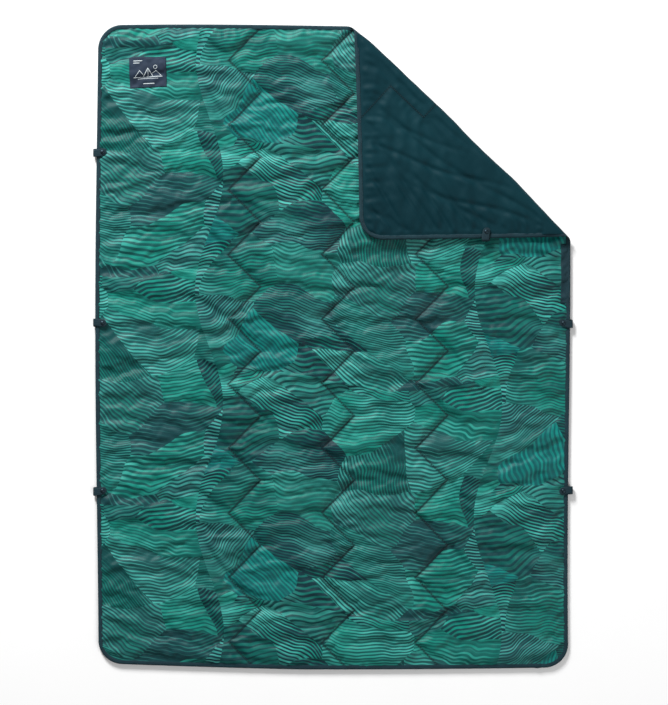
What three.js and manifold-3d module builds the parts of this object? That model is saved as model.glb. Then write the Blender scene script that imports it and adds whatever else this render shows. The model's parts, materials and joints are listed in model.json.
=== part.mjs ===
// A quilted camp blanket, lying flat with one corner folded over onto its printed side.
// Millimetres, +Z up, +Y along the blanket's length. The origin is under the middle of the
// blanket, on the plane that its lining rests on.
import * as THREE from "three";
import { mergeVertices } from "three/addons/utils/BufferGeometryUtils.js";
import Module from "manifold-3d";

const wasm = await Module();
wasm.setup();

// ---------- driving dimensions ----------

const WIDTH = 1380;
const LENGTH = 1880;
const CORNER_RADIUS = 70;
const ARC_STEPS = 8; // straight steps in one rounded corner
const GAP = 0.3; // between pieces that touch

// Thickness: every layer is pinched flat in the rim and swells to full loft inside the slope.
const RIM_START = 1.6; // inset of the layers' cut edges, inside the binding
const RIM_END = 28;
const SLOPE_END = 64;
const LAYERS = {
  lining: { rim: [4.6, 5.4], middle: [0, 1.2] },
  batting: { rim: [5.7, 7.7], middle: [1.5, 18.4] },
  face: { rim: [8.0, 8.8], middle: [18.7, 20] },
};
const RIM_CENTRE = 6.7;
const BINDING = { height: 7.2, wall: 1.2, width: 11.5 };

// The fold: a straight crease that cuts the top right corner off the flat blanket.
const CREASE_AT_TOP_X = 58;
const CREASE_AT_RIGHT_Y = 326;
const HINGE_HEIGHT = 20.9; // half the height of the folded stack
const CORNER_RIM_RAISE = 5; // the folded corner's rim sits nearer to its middle height

// Quilting: rows of zigzag stitching at 45 degrees, all along the blanket.
const QUILT_ROWS_X = [-258, 15, 288];
const QUILT_STEP = 94.5; // height of one leg, and the zigzag's width
const QUILT_RIGHT_VERTEX_Y = -12;
const QUILT_END_Y = 868;
const THREAD = { width: 2.4, bottom: 20.2, height: 0.5 };

// Label patch sewn to the printed side, near the top left corner.
const LABEL = { x: -541, y: 800, width: 108, height: 88, thickness: 1.2, radius: 5, tilt: 0.035 };

// Snap tabs. In a tab's own frame +X points out of the blanket from the edge and +Z is up.
const TAB_ROWS_Y = [569, 70, -420];
const TAB_WIDTH = 22;
const TAB_INNER_END = -29;
const SNAP_X = -17;
const SNAP_STEPS = 12;
const LOOP = { x: 4, z: 7.4, inner: 4.8, outer: 6 }; // the webbing's bend round the edge
const STRAP = { bottom: 13.7, thickness: 1.6 };
const POST = { flange: 4.5, bottom: 0.2, flangeTop: 1.1, barrel: 1.2, top: 11 };
const STUD = { base: 5, bottom: 9.1, baseTop: 9.8, nipple: 2.8, top: 12.4 };
const SOCKET = { outer: 5, inner: 3.1, bottom: 10.1, plate: 12.7, top: 13.4 };
const CAP = { barrel: 1.5, bottom: 12.9, underside: 15.6, radius: 6, shoulder: 16.3, top: 18 };

// ---------- materials ----------

const material = (color, roughness, metalness = 0) =>
  new THREE.MeshStandardMaterial({ color, roughness, metalness });

const printMaterial = material(0x2f7f75, 0.55);
const liningMaterial = material(0x1c3a42, 0.6);
const battingMaterial = material(0xe8ebea, 0.95);
const bindingMaterial = material(0x15282f, 0.7);
const webbingMaterial = material(0x16262d, 0.75);
const threadMaterial = material(0x14262c, 0.8);
const labelMaterial = material(0x1a2433, 0.7);
const snapMaterial = material(0x6f7a80, 0.3, 0.9);

// ---------- solids ----------

function toSolid(geometry) {
  const bare = geometry.index ? geometry.clone() : geometry;
  bare.deleteAttribute("normal");
  bare.deleteAttribute("uv");
  const merged = mergeVertices(bare, 1e-4);
  return new wasm.Manifold(
    new wasm.Mesh({
      numProp: 3,
      vertProperties: merged.attributes.position.array,
      triVerts: new Uint32Array(merged.index.array),
    }),
  );
}

function toGeometry(solid) {
  const mesh = solid.getMesh();
  const geometry = new THREE.BufferGeometry();
  geometry.setAttribute("position", new THREE.BufferAttribute(mesh.vertProperties, 3));
  geometry.setIndex(new THREE.BufferAttribute(mesh.triVerts, 1));
  geometry.computeVertexNormals();
  return geometry;
}

// The blanket's flat outline, counter-clockwise, moved in from the edge by inset.
function outline(inset) {
  const points = [];
  const radius = CORNER_RADIUS - inset;
  const corners = [[1, 1], [-1, 1], [-1, -1], [1, -1]];
  corners.forEach(([sideX, sideY], quarter) => {
    for (let step = 0; step <= ARC_STEPS; step += 1) {
      const angle = (Math.PI / 2) * (quarter + step / ARC_STEPS);
      const x = sideX * (WIDTH / 2 - CORNER_RADIUS) + radius * Math.cos(angle);
      const y = sideY * (LENGTH / 2 - CORNER_RADIUS) + radius * Math.sin(angle);
      points.push([x, y]);
    }
  });
  return points;
}

// Joins the outlines of a profile's points, each an inset and a height. An open profile is
// closed by a flat cap over its first and last outline; a ring's profile closes on itself.
function loft(profile, isRing) {
  const positions = [];
  const index = [];
  const count = outline(0).length;
  for (const [inset, height] of profile) {
    for (const [x, y] of outline(inset)) positions.push(x, y, height);
  }
  const bands = isRing ? profile.length : profile.length - 1;
  for (let band = 0; band < bands; band += 1) {
    const from = band * count;
    const to = ((band + 1) % profile.length) * count;
    for (let i = 0; i < count; i += 1) {
      const j = (i + 1) % count;
      index.push(from + i, from + j, to + j, from + i, to + j, to + i);
    }
  }
  if (!isRing) {
    const last = (profile.length - 1) * count;
    for (let i = 1; i < count - 1; i += 1) {
      index.push(0, i + 1, i);
      index.push(last, last + i, last + i + 1);
    }
  }
  const geometry = new THREE.BufferGeometry();
  geometry.setAttribute("position", new THREE.Float32BufferAttribute(positions, 3));
  geometry.setIndex(index);
  return geometry;
}

function layerSolid(layer, rimRaise) {
  const [rimBottom, rimTop] = layer.rim.map((height) => height + rimRaise);
  const [bottom, top] = layer.middle;
  const profile = [
    [SLOPE_END, bottom],
    [RIM_END, rimBottom],
    [RIM_START, rimBottom],
    [RIM_START, rimTop],
    [RIM_END, rimTop],
    [SLOPE_END, top],
  ];
  return toSolid(loft(profile, false));
}

// The binding is one tape folded over the edge: a channel open towards the panel.
function bindingSolid(rimRaise) {
  const { height, wall, width } = BINDING;
  const bottom = RIM_CENTRE + rimRaise - height / 2;
  const top = bottom + height;
  const profile = [
    [0, bottom],
    [0, top],
    [width, top],
    [width, top - wall],
    [wall, top - wall],
    [wall, bottom + wall],
    [width, bottom + wall],
    [width, bottom],
  ];
  return toSolid(loft(profile, true));
}

function zigzagSolid(rowX) {
  const firstLeg = Math.floor((-QUILT_END_Y - QUILT_RIGHT_VERTEX_Y) / QUILT_STEP);
  const lastLeg = Math.ceil((QUILT_END_Y - QUILT_RIGHT_VERTEX_Y) / QUILT_STEP);
  const centre = [];
  for (let leg = firstLeg; leg <= lastLeg; leg += 1) {
    const side = leg % 2 === 0 ? 1 : -1;
    centre.push([rowX + (side * QUILT_STEP) / 2, QUILT_RIGHT_VERTEX_Y + leg * QUILT_STEP]);
  }
  const half = THREAD.width / Math.SQRT2;
  const left = centre.map(([x, y]) => new THREE.Vector2(x - half, y));
  const right = centre.map(([x, y]) => new THREE.Vector2(x + half, y)).reverse();
  const ribbon = new THREE.ExtrudeGeometry(new THREE.Shape([...left, ...right]), {
    depth: THREAD.height,
    bevelEnabled: false,
  });
  ribbon.translate(0, 0, THREAD.bottom);
  const window = new THREE.BoxGeometry(WIDTH, 2 * QUILT_END_Y, 2 * LENGTH);
  return toSolid(ribbon).intersect(toSolid(window));
}

// ---------- the crease ----------

const creaseTop = new THREE.Vector3(CREASE_AT_TOP_X, LENGTH / 2, HINGE_HEIGHT);
const creaseRight = new THREE.Vector3(WIDTH / 2, CREASE_AT_RIGHT_Y, HINGE_HEIGHT);
const creaseDirection = creaseRight.clone().sub(creaseTop).normalize();
const creaseAngle = Math.atan2(creaseDirection.y, creaseDirection.x);

// Everything on the corner's side of the crease, starting offset millimetres beyond it.
function cornerSide(offset) {
  const size = 2 * LENGTH;
  const block = new THREE.BoxGeometry(size, size, size);
  block.translate(0, size / 2 + offset, 0);
  block.rotateZ(creaseAngle);
  block.translate(creaseTop.x, creaseTop.y, 0);
  return toSolid(block);
}

const beyondCrease = cornerSide(GAP);
const fromCrease = cornerSide(-GAP);

// ---------- snap tabs ----------

function turned(profile) {
  const points = profile.map(([radius, height]) => new THREE.Vector2(radius, height));
  const geometry = new THREE.LatheGeometry(points, SNAP_STEPS);
  geometry.rotateX(Math.PI / 2);
  geometry.translate(SNAP_X, 0, 0);
  return geometry;
}

const postHoleRadius = POST.barrel + GAP;
const capHoleRadius = CAP.barrel + GAP;

function postHole() {
  const hole = new THREE.CylinderGeometry(postHoleRadius, postHoleRadius, 2 * LENGTH, SNAP_STEPS);
  hole.rotateX(Math.PI / 2);
  hole.translate(SNAP_X, 0, 0);
  return hole;
}

function postGeometry() {
  const { flange, bottom, flangeTop, barrel, top } = POST;
  return turned([
    [0, bottom],
    [flange, bottom],
    [flange, flangeTop],
    [barrel, flangeTop],
    [barrel, top],
    [0, top],
  ]);
}

function studGeometry() {
  const { base, bottom, baseTop, nipple, top } = STUD;
  const bore = postHoleRadius;
  return turned([
    [bore, bottom],
    [base, bottom],
    [base, baseTop],
    [nipple, baseTop],
    [nipple, top],
    [bore, top],
    [bore, bottom],
  ]);
}

function socketGeometry() {
  const { outer, inner, bottom, plate, top } = SOCKET;
  return turned([
    [inner, bottom],
    [outer, bottom],
    [outer, top],
    [capHoleRadius, top],
    [capHoleRadius, plate],
    [inner, plate],
    [inner, bottom],
  ]);
}

function capGeometry() {
  const { barrel, bottom, underside, radius, shoulder, top } = CAP;
  const domeRadius = 0.6 * radius;
  const domeHeight = top - 0.25 * (top - shoulder);
  return turned([
    [0, bottom],
    [barrel, bottom],
    [barrel, underside],
    [radius, underside],
    [radius, shoulder],
    [domeRadius, domeHeight],
    [0, top],
  ]);
}

// The sewn end of the webbing: flat under the edge, then bent up round the outside of it.
function anchorGeometry() {
  const { x, z, inner, outer } = LOOP;
  const side = new THREE.Shape();
  side.moveTo(TAB_INNER_END, z - outer);
  side.lineTo(x, z - outer);
  side.absarc(x, z, outer, -Math.PI / 2, Math.PI / 2, false);
  side.lineTo(x, z + inner);
  side.absarc(x, z, inner, Math.PI / 2, -Math.PI / 2, true);
  side.lineTo(TAB_INNER_END, z - inner);
  const bent = new THREE.ExtrudeGeometry(side, {
    depth: TAB_WIDTH,
    bevelEnabled: false,
    curveSegments: 8,
  });
  bent.rotateX(Math.PI / 2);
  bent.translate(0, TAB_WIDTH / 2, 0);
  return toGeometry(toSolid(bent).subtract(toSolid(postHole())));
}

// The free end of the webbing, a round-ended tongue that lies over the edge when snapped.
function strapGeometry() {
  const half = TAB_WIDTH / 2;
  const tongue = new THREE.Shape();
  tongue.moveTo(LOOP.x, -half);
  tongue.lineTo(LOOP.x, half);
  tongue.lineTo(TAB_INNER_END + half, half);
  tongue.absarc(TAB_INNER_END + half, 0, half, Math.PI / 2, 1.5 * Math.PI, false);
  const hole = new THREE.Path();
  hole.absarc(SNAP_X, 0, capHoleRadius, 0, 2 * Math.PI, true);
  tongue.holes.push(hole);
  const strap = new THREE.ExtrudeGeometry(tongue, {
    depth: STRAP.thickness,
    bevelEnabled: false,
    curveSegments: 8,
  });
  strap.translate(0, 0, STRAP.bottom);
  return strap;
}

function piece(name, geometry, pieceMaterial) {
  const mesh = new THREE.Mesh(geometry, pieceMaterial.clone());
  mesh.name = name;
  return mesh;
}

// One tab on the long edge at x = side * WIDTH / 2. A turned-over tab snaps on the lining side.
function snapTab(name, side, y, isTurnedOver) {
  const tab = new THREE.Group();
  tab.position.set((side * WIDTH) / 2, y, 0);
  tab.rotation.z = side > 0 ? 0 : Math.PI;
  if (isTurnedOver) {
    tab.position.z = 2 * RIM_CENTRE + CORNER_RIM_RAISE;
    tab.rotation.x = Math.PI;
  }
  tab.add(
    piece(`${name}_anchor_webbing`, anchorGeometry(), webbingMaterial),
    piece(`${name}_post`, postGeometry(), snapMaterial),
    piece(`${name}_stud`, studGeometry(), snapMaterial),
    piece(`${name}_strap`, strapGeometry(), webbingMaterial),
    piece(`${name}_socket`, socketGeometry(), snapMaterial),
    piece(`${name}_cap`, capGeometry(), snapMaterial),
  );
  return tab;
}

const rowNames = ["upper", "middle", "lower"];
const mainTabs = [];
TAB_ROWS_Y.forEach((y, row) => {
  mainTabs.push({ name: `tab_left_${rowNames[row]}`, side: -1, y });
  if (row > 0) mainTabs.push({ name: `tab_right_${rowNames[row]}`, side: 1, y });
});
const cornerTab = { name: "tab_corner", side: 1, y: TAB_ROWS_Y[0] };

// ---------- panels ----------

function punched(solid) {
  let result = solid;
  for (const { side, y } of [...mainTabs, cornerTab]) {
    const hole = postHole();
    if (side < 0) hole.rotateZ(Math.PI);
    hole.translate((side * WIDTH) / 2, y, 0);
    result = result.subtract(toSolid(hole));
  }
  return result;
}

const layerMaterials = { lining: liningMaterial, batting: battingMaterial, face: printMaterial };

function addPanel(group, prefix, rimRaise, trim) {
  for (const [name, layer] of Object.entries(LAYERS)) {
    const solid = trim(punched(layerSolid(layer, rimRaise)));
    group.add(piece(`${prefix}_${name}`, toGeometry(solid), layerMaterials[name]));
  }
  group.add(piece(`${prefix}_binding`, toGeometry(trim(bindingSolid(rimRaise))), bindingMaterial));
}

function labelPatch() {
  const { width, height, radius, thickness } = LABEL;
  const x = width / 2;
  const y = height / 2;
  const shape = new THREE.Shape();
  shape.moveTo(-x + radius, -y);
  shape.absarc(x - radius, -y + radius, radius, -Math.PI / 2, 0, false);
  shape.absarc(x - radius, y - radius, radius, 0, Math.PI / 2, false);
  shape.absarc(-x + radius, y - radius, radius, Math.PI / 2, Math.PI, false);
  shape.absarc(-x + radius, -y + radius, radius, Math.PI, 1.5 * Math.PI, false);
  const patch = new THREE.ExtrudeGeometry(shape, {
    depth: thickness,
    bevelEnabled: false,
    curveSegments: 4,
  });
  const mesh = piece("label_patch", patch, labelMaterial);
  mesh.position.set(LABEL.x, LABEL.y, LAYERS.face.middle[1] + GAP);
  mesh.rotation.z = LABEL.tilt;
  return mesh;
}

const main = new THREE.Group();
addPanel(main, "main", 0, (solid) => solid.subtract(fromCrease));
main.add(labelPatch());
const rowSides = ["left", "middle", "right"];
QUILT_ROWS_X.forEach((rowX, row) => {
  const rowSolid = zigzagSolid(rowX).subtract(fromCrease);
  main.add(piece(`quilt_thread_${rowSides[row]}`, toGeometry(rowSolid), threadMaterial));
});
for (const tab of mainTabs) main.add(snapTab(tab.name, tab.side, tab.y, false));

// The corner is built flat, in its place in the open blanket, then turned over about the crease.
const corner = new THREE.Group();
addPanel(corner, "corner", CORNER_RIM_RAISE, (solid) => solid.intersect(beyondCrease));
const cornerThread = zigzagSolid(QUILT_ROWS_X[2]).intersect(beyondCrease);
corner.add(piece("corner_quilt_thread", toGeometry(cornerThread), threadMaterial));
corner.add(snapTab(cornerTab.name, cornerTab.side, cornerTab.y, true));
corner.position.copy(creaseTop).negate();

const fold = new THREE.Group();
fold.position.copy(creaseTop);
fold.quaternion.setFromAxisAngle(creaseDirection, Math.PI);
fold.add(corner);

const blanket = new THREE.Group();
blanket.add(main, fold);

export default blanket;
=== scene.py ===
"""The looks of a quilted camp blanket with one corner folded over. Metres, +Z up.

Every cloth is first worked out for the open, flat blanket: a grid of points with a height each.
fold() then turns the corner over, the same way for every cloth, tape and stitch.
"""

import json
import math

import bpy
import numpy as np
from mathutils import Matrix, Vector


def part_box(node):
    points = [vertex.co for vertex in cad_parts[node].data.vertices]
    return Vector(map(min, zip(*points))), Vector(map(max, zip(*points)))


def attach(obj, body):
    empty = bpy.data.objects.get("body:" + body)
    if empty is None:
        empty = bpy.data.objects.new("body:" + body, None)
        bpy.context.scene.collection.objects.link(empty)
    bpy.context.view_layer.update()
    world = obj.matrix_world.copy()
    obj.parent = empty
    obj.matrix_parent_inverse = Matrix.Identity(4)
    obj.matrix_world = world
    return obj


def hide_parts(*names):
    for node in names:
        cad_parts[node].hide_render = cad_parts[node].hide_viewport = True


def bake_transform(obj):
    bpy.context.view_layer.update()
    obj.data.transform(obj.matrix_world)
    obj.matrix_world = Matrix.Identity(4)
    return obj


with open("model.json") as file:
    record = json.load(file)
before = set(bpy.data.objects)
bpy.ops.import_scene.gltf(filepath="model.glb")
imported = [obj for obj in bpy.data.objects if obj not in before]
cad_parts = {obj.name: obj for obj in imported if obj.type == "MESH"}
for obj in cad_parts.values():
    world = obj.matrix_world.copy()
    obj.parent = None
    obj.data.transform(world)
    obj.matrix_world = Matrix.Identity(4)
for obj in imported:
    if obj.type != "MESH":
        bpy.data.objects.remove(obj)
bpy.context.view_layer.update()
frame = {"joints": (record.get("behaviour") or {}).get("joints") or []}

# ---------- dimensions ----------

MM = 0.001
HALF_WIDTH, HALF_LENGTH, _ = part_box("main_binding")[1]
CORNER_RADIUS = 70 * MM
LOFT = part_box("main_face")[1].z

# The crease: a line in the flat blanket, with the folded corner on its far side.
joints = {joint["name"]: joint for joint in frame["joints"]}
HINGE = Vector(joints["corner_fold"]["pos_m"])
CREASE = -np.array(joints["corner_fold"]["axis"][:2])
NORMAL = np.array([-CREASE[1], CREASE[0]])
CREASE_HALF_LENGTH = 0.44
OUTER_REACH = 22 * MM  # half the width of lining that goes round the roll of the fold
INNER_REACH = 6 * MM  # the same for the face cloth, inside the roll
END_REACH = 5 * MM  # how much further the roll pulls back at its ends
CREASE_WAVE = 1.6 * MM  # how much the roll wavers along its length
CREASE_BOW = 6 * MM  # how far the roll stands out at the middle of the crease

# Quilting rows: zigzags at 45 degrees. The grid's cells divide a zigzag's leg.
QUILT_STEP = 94.5 * MM
QUILT_VERTEX_Y = -12 * MM  # the height of one right-hand vertex
ROWS_X = [
    sum(corner.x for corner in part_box(f"quilt_thread_{side}")) / 2
    for side in ("left", "middle", "right")
]
CELL = QUILT_STEP / 9
RIM_INSET = 8 * MM  # the cloths' edges lie this far inside the binding's outer edge
RIM_HELD = 5 * MM  # the binding holds the cloths flat for this far from their edges
FILLING_REACH = 3  # grid steps: each point of the batting clears this much of both cloths
FILLING_GAP = 27 * MM  # the batting stops this far from the crease, on both sides
FILLING_INSET = 12 * MM  # and this far inside the cloths' edge

# Heights in the flat blanket.
FACE_RIM_Z = 8.5 * MM  # the face where it enters the binding
FACE_SEAM_Z = 7 * MM  # at the quilting
GROOVE_HALF_WIDTH = 4.5 * MM
FACE_TOP_Z = 16.2 * MM  # on a puff, before the simulation
FACE_CREST_Z = 17.5 * MM  # wrinkles above this are flattened
FACE_LOWEST_Z = 5.5 * MM
LINING_RIM_Z = 4.9 * MM
RIM_Z = 6.6 * MM  # the binding's centre line on the main part
CORNER_RIM_Z = 12.6 * MM  # and on the folded corner
LEAST_LOFT = 3 * MM  # the cloths stay this far apart

# The face is a simulated cloth, cut longer than its place so that it buckles.
CUT_LONGER = np.array([1.014, 1.055, 1.0])
FILLING_HOLD = 0.14  # how firmly the filling holds the cloth to the puffs' shape
CLOTH_SETTINGS = {
    "quality": 4, "mass": 0.1, "tension_stiffness": 15, "compression_stiffness": 15,
    "shear_stiffness": 5, "bending_stiffness": 0.03, "vertex_group_mass": "hold",
}
IN_PLACE_FRAME = 12
LAST_FRAME = 24

SEED = 11

# ---------- small maths ----------


def smooth(value, low, high):
    share = np.clip((value - low) / (high - low), 0, 1)
    return share * share * (3 - 2 * share)


def beyond_crease(x, y):
    return (x - HINGE.x) * NORMAL[0] + (y - HINGE.y) * NORMAL[1]


def corner_share(x, y):
    """0 on the main part, 1 on the folded corner."""
    return smooth(beyond_crease(x, y), -22 * MM, 50 * MM)


def fold(x, y, z):
    """Takes points of the open blanket to where they lie with the corner folded over."""
    beyond = beyond_crease(x, y)
    along = (x - HINGE.x) * CREASE[0] + (y - HINGE.y) * CREASE[1]
    depth = np.clip(z / LOFT, 0, 1)
    reach = OUTER_REACH + (INNER_REACH - OUTER_REACH) * depth
    reach = reach + END_REACH * np.abs(along / CREASE_HALF_LENGTH) ** 3
    bow = CREASE_BOW * np.clip(1 - (along / CREASE_HALF_LENGTH) ** 2, 0, 1)
    waver = CREASE_WAVE * (np.sin(along / 0.045) + np.sin(along / 0.11 + 1))
    reach = reach + (1 - depth) * (waver - bow)
    turn = np.clip((beyond + reach) / (2 * reach), 0, 1) * np.pi
    radius = HINGE.z - z
    folded = np.minimum(beyond, -reach) + radius * np.sin(turn) - np.clip(beyond - reach, 0, None)
    shift = folded - beyond
    return np.stack(
        [x + shift * NORMAL[0], y + shift * NORMAL[1], HINGE.z - radius * np.cos(turn)],
        axis=-1,
    )


def settle(x, y):
    """The outline's slow bulges, a few mm each: the blanket doesn't lie quite square."""
    left = np.clip(-x / HALF_WIDTH, 0, 1.1) ** 2
    right = np.clip(x / HALF_WIDTH, 0, 1.1) ** 2
    top = np.clip(y / HALF_LENGTH, 0, 1.1) ** 4
    bottom = np.clip(-y / HALF_LENGTH, 0, 1.1) ** 4
    shift_x = -left * 5 * MM * np.cos(2 * np.pi * (y - 0.07) / 2.2)
    shift_x = shift_x + right * 4 * MM * np.cos(2 * np.pi * (y - 0.25) / 1.8)
    shift_y = top * (4 * MM * np.cos(2 * np.pi * (x + 0.42) / 1.5) - 1 * MM)
    sag = -2.5 * MM + 5 * MM * (x / 0.6) ** 2 + 20 * MM * np.clip(-x - 0.1, 0, None)
    return x + shift_x, y + shift_y + bottom * sag


def zigzag_x(y, row):
    turn = ((y - QUILT_VERTEX_Y) / (2 * QUILT_STEP)) % 1.0
    return row - QUILT_STEP / 2 + 2 * QUILT_STEP * np.abs(turn - 0.5)


def seam_distance(x, y):
    return np.min([np.abs(x - zigzag_x(y, row)) for row in ROWS_X], axis=0) / math.sqrt(2)


def swell(distance, reach, power):
    """0 at a seam, rising to 1 at reach: the side of a puff."""
    return 1 - (1 - np.clip(distance / reach, 0, 1)) ** power


def unit(vectors):
    return vectors / np.maximum(np.linalg.norm(vectors, axis=-1, keepdims=True), 1e-12)


# ---------- the flat grid ----------


def grid_lines(half, origin):
    first = math.ceil((-half - origin) / CELL + 0.3)
    last = math.floor((half - origin) / CELL - 0.3)
    return np.concatenate([[-half], origin + CELL * np.arange(first, last + 1), [half]])


def halfway(values):
    """Puts a cubic midpoint between every two values along the first axis."""
    padded = np.concatenate([2 * values[:1] - values[1:2], values, 2 * values[-1:] - values[-2:-1]])
    middle = (9 * (padded[1:-2] + padded[2:-1]) - padded[:-3] - padded[3:]) / 16
    fine = np.empty((2 * len(values) - 1, *values.shape[1:]))
    fine[0::2] = values
    fine[1::2] = middle
    return fine


def refine(values):
    return np.swapaxes(halfway(np.swapaxes(halfway(values), 0, 1)), 0, 1)


def grid_quads(rows, columns, wrap_rows=False, wrap_columns=False):
    index = np.arange(rows * columns).reshape(rows, columns)
    if wrap_rows:
        index = np.concatenate([index, index[:1]], 0)
    if wrap_columns:
        index = np.concatenate([index, index[:, :1]], 1)
    quads = np.stack([index[:-1, :-1], index[1:, :-1], index[1:, 1:], index[:-1, 1:]], -1)
    return quads.reshape(-1, 4)


GRID_HALF_X = HALF_WIDTH - RIM_INSET
GRID_HALF_Y = HALF_LENGTH - RIM_INSET
coarse_x, coarse_y = np.meshgrid(
    grid_lines(GRID_HALF_X, ROWS_X[1]), grid_lines(GRID_HALF_Y, QUILT_VERTEX_Y), indexing="ij"
)


def edge_distance(x, y):
    return np.minimum(GRID_HALF_X - np.abs(x), GRID_HALF_Y - np.abs(y))


def round_corners(x, y):
    """Bends the rectangular grid's corners to the blanket's round ones."""
    radius = CORNER_RADIUS - RIM_INSET
    a = np.clip((np.abs(x) - GRID_HALF_X + radius) / radius, 0, 1)
    b = np.clip((np.abs(y) - GRID_HALF_Y + radius) / radius, 0, 1)
    in_x = radius * a * (1 - np.sqrt(1 - b * b / 2))
    in_y = radius * b * (1 - np.sqrt(1 - a * a / 2))
    return x - np.sign(x) * in_x, y - np.sign(y) * in_y


# ---------- the puffed face ----------

DRAG_DEPTH = 8 * MM  # the creases that pull at the outer rows' vertices
DRAG_HALF_WIDTH = 12.5 * MM


def drag_creases():
    """Soft creases that run from the outer rows' vertices towards the long edges."""
    rng = np.random.default_rng(SEED)
    creases = []
    for turn in range(-5, 6):
        left_y = QUILT_VERTEX_Y + QUILT_STEP * (2 * turn + 1)
        right_y = QUILT_VERTEX_Y + QUILT_STEP * 2 * turn
        left_x = ROWS_X[0] - QUILT_STEP / 2
        right_x = ROWS_X[2] + QUILT_STEP / 2
        creases.append((left_x, left_y, rng.uniform(128, 152), rng.uniform(0.12, 0.21)))
        creases.append((right_x, right_y, rng.uniform(-55, -32), rng.uniform(0.1, 0.2)))
    return creases


def drag_share(x, y):
    """1 at the bottom of a drag crease, 0 away from them all."""
    share = np.zeros_like(x)
    for start_x, start_y, degrees, length in drag_creases():
        angle = math.radians(degrees)
        along = (x - start_x) * math.cos(angle) + (y - start_y) * math.sin(angle)
        across = (y - start_y) * math.cos(angle) - (x - start_x) * math.sin(angle)
        across = across + 0.9 * along * along
        fade = smooth(along, -0.01, 0.01) * (1 - smooth(along, 0.3 * length, length))
        share = np.maximum(share, fade * np.exp(-((across / DRAG_HALF_WIDTH) ** 2)))
    return share


def puffed_height(x, y):
    by_seam = swell(seam_distance(x, y), reach=50 * MM, power=2.4)
    by_edge = swell(edge_distance(x, y) - RIM_HELD, reach=50 * MM, power=2.2)
    seam_part = FACE_SEAM_Z + (FACE_TOP_Z - FACE_SEAM_Z) * by_seam
    edge_part = FACE_RIM_Z + (FACE_TOP_Z - FACE_RIM_Z) * by_edge
    return np.minimum(seam_part, edge_part) - DRAG_DEPTH * drag_share(x, y)


def simulate(points, pinned):
    """Lets the cloth buckle over the filling.

    Pinned points are sewn down. The others are held to the filling's shape by a soft spring.
    """
    rng = np.random.default_rng(SEED)
    target = points.reshape(-1, 3).copy()
    target[:, 2] += rng.normal(0, 0.4 * MM, len(target)) * ~pinned.reshape(-1)
    mesh = bpy.data.meshes.new("simulated")
    quads = grid_quads(*points.shape[:2]).tolist()
    mesh.from_pydata((target * CUT_LONGER).tolist(), [], quads)
    cloth = bpy.data.objects.new("simulated", mesh)
    bpy.context.scene.collection.objects.link(cloth)
    cloth.shape_key_add(name="cut")
    key = cloth.shape_key_add(name="in place")
    key.data.foreach_set("co", target.reshape(-1).astype(np.float32))
    key.value = 0
    key.keyframe_insert("value", frame=1)
    key.value = 1
    key.keyframe_insert("value", frame=IN_PLACE_FRAME)
    hold = cloth.vertex_groups.new(name="hold")
    for chosen, weight in ((pinned, 1.0), (~pinned, FILLING_HOLD)):
        hold.add(np.nonzero(chosen.reshape(-1))[0].tolist(), weight, "REPLACE")
    modifier = cloth.modifiers.new("Cloth", "CLOTH")
    for key, value in CLOTH_SETTINGS.items():
        setattr(modifier.settings, key, value)
    modifier.settings.effector_weights.gravity = 0
    modifier.collision_settings.use_collision = False
    modifier.collision_settings.use_self_collision = False
    scene = bpy.context.scene
    for number in range(1, LAST_FRAME + 1):
        scene.frame_set(number)
    shaped = cloth.evaluated_get(bpy.context.evaluated_depsgraph_get()).to_mesh()
    result = np.empty(len(shaped.vertices) * 3, np.float32)
    shaped.vertices.foreach_get("co", result)
    scene.frame_set(1)
    bpy.data.objects.remove(cloth)
    bpy.data.meshes.remove(mesh)
    return result.reshape(points.shape).astype(float)


def fine_puckers(x, y, seed, heading, fold_depth, families):
    """Small gathers beside the seams and the binding, and creases across the given heading."""
    rng = np.random.default_rng(seed)
    phase = 2.2 * np.sin(9 * x + 3 * y) + 1.7 * np.sin(7 * y - 5 * x)
    leg = ((y - QUILT_VERTEX_Y) / QUILT_STEP) % 2 < 1
    along = np.where(leg, y - x, y + x) / math.sqrt(2)
    seam = np.exp(-seam_distance(x, y) / 0.014) * np.sin(2 * np.pi * along / 0.022 + phase)
    inset = edge_distance(x, y)
    nearer_side = GRID_HALF_X - np.abs(x) < GRID_HALF_Y - np.abs(y)
    around = np.where(nearer_side, y, x)
    rim = np.exp(-inset / 0.026) * np.sin(2 * np.pi * around / 0.025 + 2 * phase)
    rim = rim + 0.7 * np.exp(-inset / 0.08) * np.sin(2 * np.pi * around / 0.047 + phase)
    folds = np.zeros_like(x)
    for _ in range(families):
        angle = rng.normal(heading, 0.3)
        pitch = rng.uniform(0.045, 0.11)
        shift = rng.uniform(0, 2 * math.pi)
        place = x * math.cos(angle) + y * math.sin(angle)
        place = place + 0.012 * np.sin(10 * x + shift) + 0.008 * np.sin(17 * y - shift)
        mask = np.sin(x * rng.uniform(5, 14) + y * rng.uniform(5, 14) + 2 * shift)
        narrow = np.exp(-((np.sin(math.pi * place / pitch + shift) / 0.3) ** 2))
        folds += np.clip(mask, 0, None) * narrow
    held = smooth(inset, 0.005, 0.024)
    return held * (1.5 * MM * seam + 1.7 * MM * rim - fold_depth * folds)


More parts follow.
